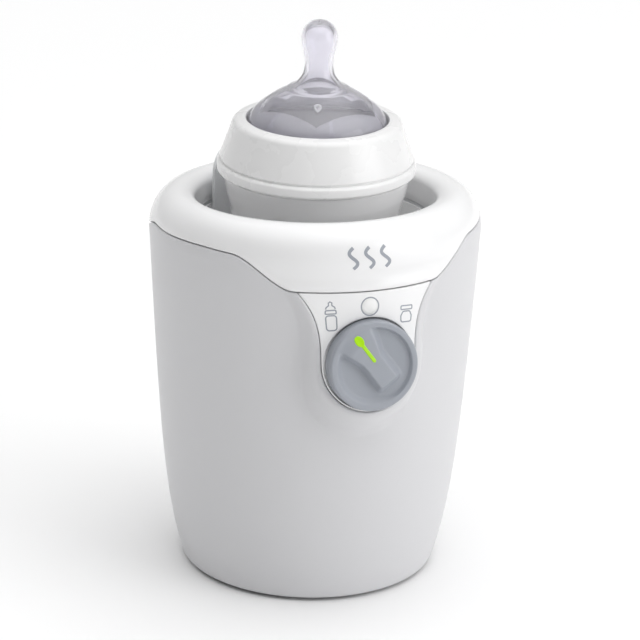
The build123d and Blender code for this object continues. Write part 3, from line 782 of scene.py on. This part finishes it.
def spread(nodes, links, value, low, high):
    """A noise value turned into a range of numbers."""
    ramp = nodes.new("ShaderNodeMapRange")
    ramp.inputs["From Min"].default_value = 0.3
    ramp.inputs["From Max"].default_value = 0.7
    ramp.inputs["To Min"].default_value = low
    ramp.inputs["To Max"].default_value = high
    links.new(value, ramp.inputs["Value"])
    return ramp.outputs["Result"]


def tint(nodes, links, value, first, second):
    mix = nodes.new("ShaderNodeMix")
    mix.data_type = "RGBA"
    mix.inputs["A"].default_value = (*first, 1)
    mix.inputs["B"].default_value = (*second, 1)
    links.new(value, mix.inputs["Factor"])
    return mix.outputs["Result"]


def plastic(name, colour, roughness, variation=0.02, grain=0.0, grain_scale=900, sub=0.0, coat=0.0):
    """Moulded plastic: faint colour drift, uneven gloss and an optional fine spark-eroded grain."""
    material, nodes, links, shader = node_material(name)
    darker = tuple(c * (1 - variation) for c in colour)
    drift = noise(nodes, links, 18, 3)
    links.new(tint(nodes, links, drift, darker, colour), shader.inputs["Base Color"])
    uneven = noise(nodes, links, 55, 4)
    gloss = spread(nodes, links, uneven, roughness * 0.88, roughness * 1.12)
    links.new(gloss, shader.inputs["Roughness"])
    shader.inputs["Coat Weight"].default_value = coat
    shader.inputs["Coat Roughness"].default_value = 0.08
    if sub:
        shader.inputs["Subsurface Weight"].default_value = sub
        shader.inputs["Subsurface Radius"].default_value = (0.004, 0.004, 0.004)
        shader.inputs["Subsurface Scale"].default_value = 0.5
    bump = nodes.new("ShaderNodeBump")
    bump.inputs["Distance"].default_value = 0.0001
    bump.inputs["Strength"].default_value = max(grain, 0.02)
    fine = noise(nodes, links, grain_scale if grain else 400, 2)
    links.new(fine, bump.inputs["Height"])
    links.new(bump.outputs["Normal"], shader.inputs["Normal"])
    return material


def clear(name, colour, roughness, ior, haze=0.0):
    """Clear or hazy silicone or glass with faint flow lines."""
    material, nodes, links, shader = node_material(name)
    shader.inputs["Transmission Weight"].default_value = 1.0 - haze
    shader.inputs["IOR"].default_value = ior
    paler = tuple(min(c * 1.02, 1.0) for c in colour)
    drift = noise(nodes, links, 30, 2)
    links.new(tint(nodes, links, drift, colour, paler), shader.inputs["Base Color"])
    uneven = noise(nodes, links, 120, 3)
    links.new(spread(nodes, links, uneven, roughness * 0.7, roughness * 1.3), shader.inputs["Roughness"])
    flow_lines(nodes, links, shader, 0.05)
    return material


def flow_lines(nodes, links, shader, strength):
    bump = nodes.new("ShaderNodeBump")
    bump.inputs["Distance"].default_value = 0.0002
    bump.inputs["Strength"].default_value = strength
    links.new(noise(nodes, links, 90, 1, (1, 1, 0.3)), bump.inputs["Height"])
    links.new(bump.outputs["Normal"], shader.inputs["Normal"])


def thin_clear(name, colour, roughness, face_on, edge_on):
    """Thin see-through moulding: mostly open face on, denser where the wall is seen edge on."""
    material, nodes, links, shader = node_material(name)
    paler = tuple(min(c * 1.03, 1.0) for c in colour)
    drift = noise(nodes, links, 30, 2)
    links.new(tint(nodes, links, drift, colour, paler), shader.inputs["Base Color"])
    uneven = noise(nodes, links, 120, 3)
    links.new(spread(nodes, links, uneven, roughness * 0.7, roughness * 1.3), shader.inputs["Roughness"])
    facing = nodes.new("ShaderNodeLayerWeight")
    facing.inputs["Blend"].default_value = 0.45
    ramp = nodes.new("ShaderNodeMapRange")
    ramp.inputs["To Min"].default_value = face_on
    ramp.inputs["To Max"].default_value = edge_on
    links.new(facing.outputs["Facing"], ramp.inputs["Value"])
    links.new(ramp.outputs["Result"], shader.inputs["Alpha"])
    flow_lines(nodes, links, shader, 0.08)
    return material


def metal(name, colour, roughness, stretch=(1, 1, 30)):
    """Machined or plated metal with fine brushing."""
    material, nodes, links, shader = node_material(name)
    shader.inputs["Metallic"].default_value = 1.0
    brush = noise(nodes, links, 300, 3, stretch)
    darker = tuple(c * 0.85 for c in colour)
    links.new(tint(nodes, links, brush, darker, colour), shader.inputs["Base Color"])
    links.new(spread(nodes, links, brush, roughness * 0.8, roughness * 1.25), shader.inputs["Roughness"])
    bump = nodes.new("ShaderNodeBump")
    bump.inputs["Distance"].default_value = 0.0001
    bump.inputs["Strength"].default_value = 0.15
    links.new(brush, bump.inputs["Height"])
    links.new(bump.outputs["Normal"], shader.inputs["Normal"])
    return material


MATERIALS = {
    # The housing is the same white plastic as the collar, given a greyer colour so that its sides render
    # darker: painted shade.
    "housing_white": plastic("housing_plastic_painted_shade", (0.66, 0.66, 0.675), 0.36, grain=0.12),
    "collar_white": plastic("collar_plastic", (0.88, 0.88, 0.885), 0.24, coat=0.2),
    "chamber_white": plastic("chamber_plastic", (0.94, 0.94, 0.94), 0.3),
    "basket_clear": thin_clear("basket_plastic", (0.93, 0.94, 0.95), 0.22, 0.45, 0.85),
    "knob_grey": plastic("knob_plastic", (0.34, 0.36, 0.40), 0.38, grain=0.1),
    "pointer_green": plastic("pointer_plastic", (0.42, 0.78, 0.01), 0.3),
    "lens_white": plastic("lens_plastic", (0.93, 0.93, 0.92), 0.2, sub=0.3),
    "bottle_clear": thin_clear("bottle_plastic", (0.98, 0.98, 0.985), 0.07, 0.62, 0.92),
    "ring_white": plastic("ring_plastic", (0.84, 0.84, 0.84), 0.28, coat=0.15),
    "teat_clear": clear("teat_silicone", (0.94, 0.93, 0.985), 0.05, 1.41, haze=0.1),
    # The petal skirt's grey tone is painted shade seen through the teat; the vent's grey is its own
    # colour.
    "teat_frost_and_painted_shade": thin_clear("teat_frost_and_painted_shade", (0.80, 0.80, 0.84), 0.4, 0.5, 0.8),
    "seal_rubber": plastic("seal_silicone", (0.55, 0.56, 0.57), 0.55, grain=0.1),
    "foot_rubber": plastic("foot_rubber", (0.05, 0.05, 0.05), 0.7, grain=0.4, grain_scale=700),
    "heater_steel": metal("heater_metal", (0.62, 0.62, 0.62), 0.3),
    "spreader_aluminium": metal("spreader_metal", (0.78, 0.78, 0.79), 0.4),
    "screw_steel": metal("screw_metal", (0.6, 0.6, 0.62), 0.28),
    "switch_black": plastic("switch_plastic", (0.03, 0.03, 0.03), 0.5, grain=0.2),
    "gland_grey": plastic("gland_plastic", (0.70, 0.70, 0.71), 0.5, grain=0.2),
    "board_green": plastic("board_laminate", (0.03, 0.18, 0.08), 0.35, variation=0.3),
    "terminal_ivory": plastic("terminal_plastic", (0.72, 0.68, 0.56), 0.5),
    "wire_white": plastic("wire_sleeve", (0.80, 0.80, 0.77), 0.5),
    "ceramic": plastic("heater_ceramic", (0.35, 0.33, 0.31), 0.7, variation=0.15, grain=0.3),
    "lamp_glass": clear("lamp_glass", (0.98, 0.85, 0.7), 0.05, 1.5),
}


def dress():
    """Gives every CAD node and every piece the material of its slot."""
    slots = {row["node"]: row["material_slot"] for row in frame["record"]["subparts"]}
    for name, obj in frame["nodes"].items():
        obj.data.materials.clear()
        obj.data.materials.append(MATERIALS[slots[name]])
    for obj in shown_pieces():
        if "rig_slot" in obj and "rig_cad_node" not in obj:
            obj.data.materials.clear()
            obj.data.materials.append(MATERIALS[obj.get("finish", obj["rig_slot"])])


# ---- Stage, light and camera ----
FLOOR_REACH = 4000         # mm from the middle to each edge of the floor


def make_floor():
    corners = [(-FLOOR_REACH, -FLOOR_REACH, 0), (FLOOR_REACH, -FLOOR_REACH, 0),
               (FLOOR_REACH, FLOOR_REACH, 0), (-FLOOR_REACH, FLOOR_REACH, 0)]
    floor = mesh_object("floor", corners, [(0, 1, 2, 3)])
    material, _, _, shader = node_material("floor_white")
    shader.inputs["Base Color"].default_value = (0.93, 0.93, 0.93, 1)
    shader.inputs["Roughness"].default_value = 0.6
    shader.inputs["Specular IOR Level"].default_value = 0.2
    floor.data.materials.append(material)


def light(name, kind, at, aim, power, **settings):
    data = bpy.data.lights.new(name, kind)
    data.energy = power
    for key, value in settings.items():
        setattr(data, key, value)
    obj = bpy.data.objects.new(name, data)
    obj.location = at
    obj.rotation_euler = (Vector(aim) - Vector(at)).to_track_quat("-Z", "Y").to_euler()
    bpy.context.scene.collection.objects.link(obj)


def sky():
    """A studio dome: bright overhead, a little from the right and from behind."""
    world = bpy.data.worlds.new("studio")
    bpy.context.scene.world = world
    world.use_nodes = True
    nodes, links = world.node_tree.nodes, world.node_tree.links
    where = nodes.new("ShaderNodeTexCoord")
    split = nodes.new("ShaderNodeSeparateXYZ")
    links.new(where.outputs["Generated"], split.inputs["Vector"])
    total = None
    for axis, low, high, power in DOME:
        ramp = nodes.new("ShaderNodeMapRange")
        ramp.interpolation_type = "SMOOTHSTEP"
        ramp.inputs["From Min"].default_value = low
        ramp.inputs["From Max"].default_value = high
        ramp.inputs["To Max"].default_value = power
        links.new(split.outputs[axis], ramp.inputs["Value"])
        if total is None:
            total = ramp.outputs["Result"]
            continue
        add = nodes.new("ShaderNodeMath")
        links.new(total, add.inputs[0])
        links.new(ramp.outputs["Result"], add.inputs[1])
        total = add.outputs["Value"]
    links.new(total, nodes["Background"].inputs["Strength"])
    nodes["Background"].inputs["Color"].default_value = (1, 1, 1, 1)


DOME = [("Z", -0.9, -0.8, 0.15), ("Z", 0.5, 0.98, 1.6), ("X", 0.3, 0.9, 0.1), ("Y", 0.4, 0.95, 0.3)]


def light_scene():
    """A dome, a wide soft light from above and to the right, and a side light."""
    sky()
    light("key", "SUN", (0.35, -0.25, 1.0), (0, 0, 0), 0.55, angle=math.radians(70))
    light("side", "AREA", (0.80, -0.80, 0.45), (0, 0, 0.08), 4.6, shape="RECTANGLE", size=0.8, size_y=0.8)


CAMERA_AZIMUTH = math.radians(-18.75)
CAMERA_ELEVATION = math.radians(20.75)
CAMERA_DISTANCE = 1.007
CAMERA_LENS = 168.75
CAMERA_SHIFT = (0.0120, 0.0166)
CAMERA_ROLL = math.radians(1.43)
AIM = Vector((0, 0, 0.080))


def make_camera():
    data = bpy.data.cameras.new("camera")
    data.sensor_width = 36
    data.lens = CAMERA_LENS
    data.shift_x, data.shift_y = CAMERA_SHIFT
    data.clip_start = 0.05
    camera = bpy.data.objects.new("camera", data)
    a, e = CAMERA_AZIMUTH, CAMERA_ELEVATION
    back = Vector((math.sin(a) * math.cos(e), -math.cos(a) * math.cos(e), math.sin(e)))
    look = (-back).to_track_quat("-Z", "Y").to_matrix().to_4x4()
    roll = Matrix.Rotation(CAMERA_ROLL, 4, "Z")
    camera.matrix_world = Matrix.Translation(AIM + back * CAMERA_DISTANCE) @ look @ roll
    bpy.context.scene.collection.objects.link(camera)
    bpy.context.scene.camera = camera


make_camera()
make_housing()
make_collar()
make_panel()
make_knob()
make_pointer()
make_marks()
make_lens()
make_bottle()
make_ring()
make_teat()
make_vent()
make_basket_tab()
dress()
make_floor()
light_scene()
bpy.context.scene.view_settings.view_transform = "Standard"
bpy.context.scene.cycles.transparent_max_bounces = 32
bpy.context.scene.cycles.max_bounces = 24
bpy.context.scene.cycles.diffuse_bounces = 10
bpy.context.scene.cycles.transmission_bounces = 24
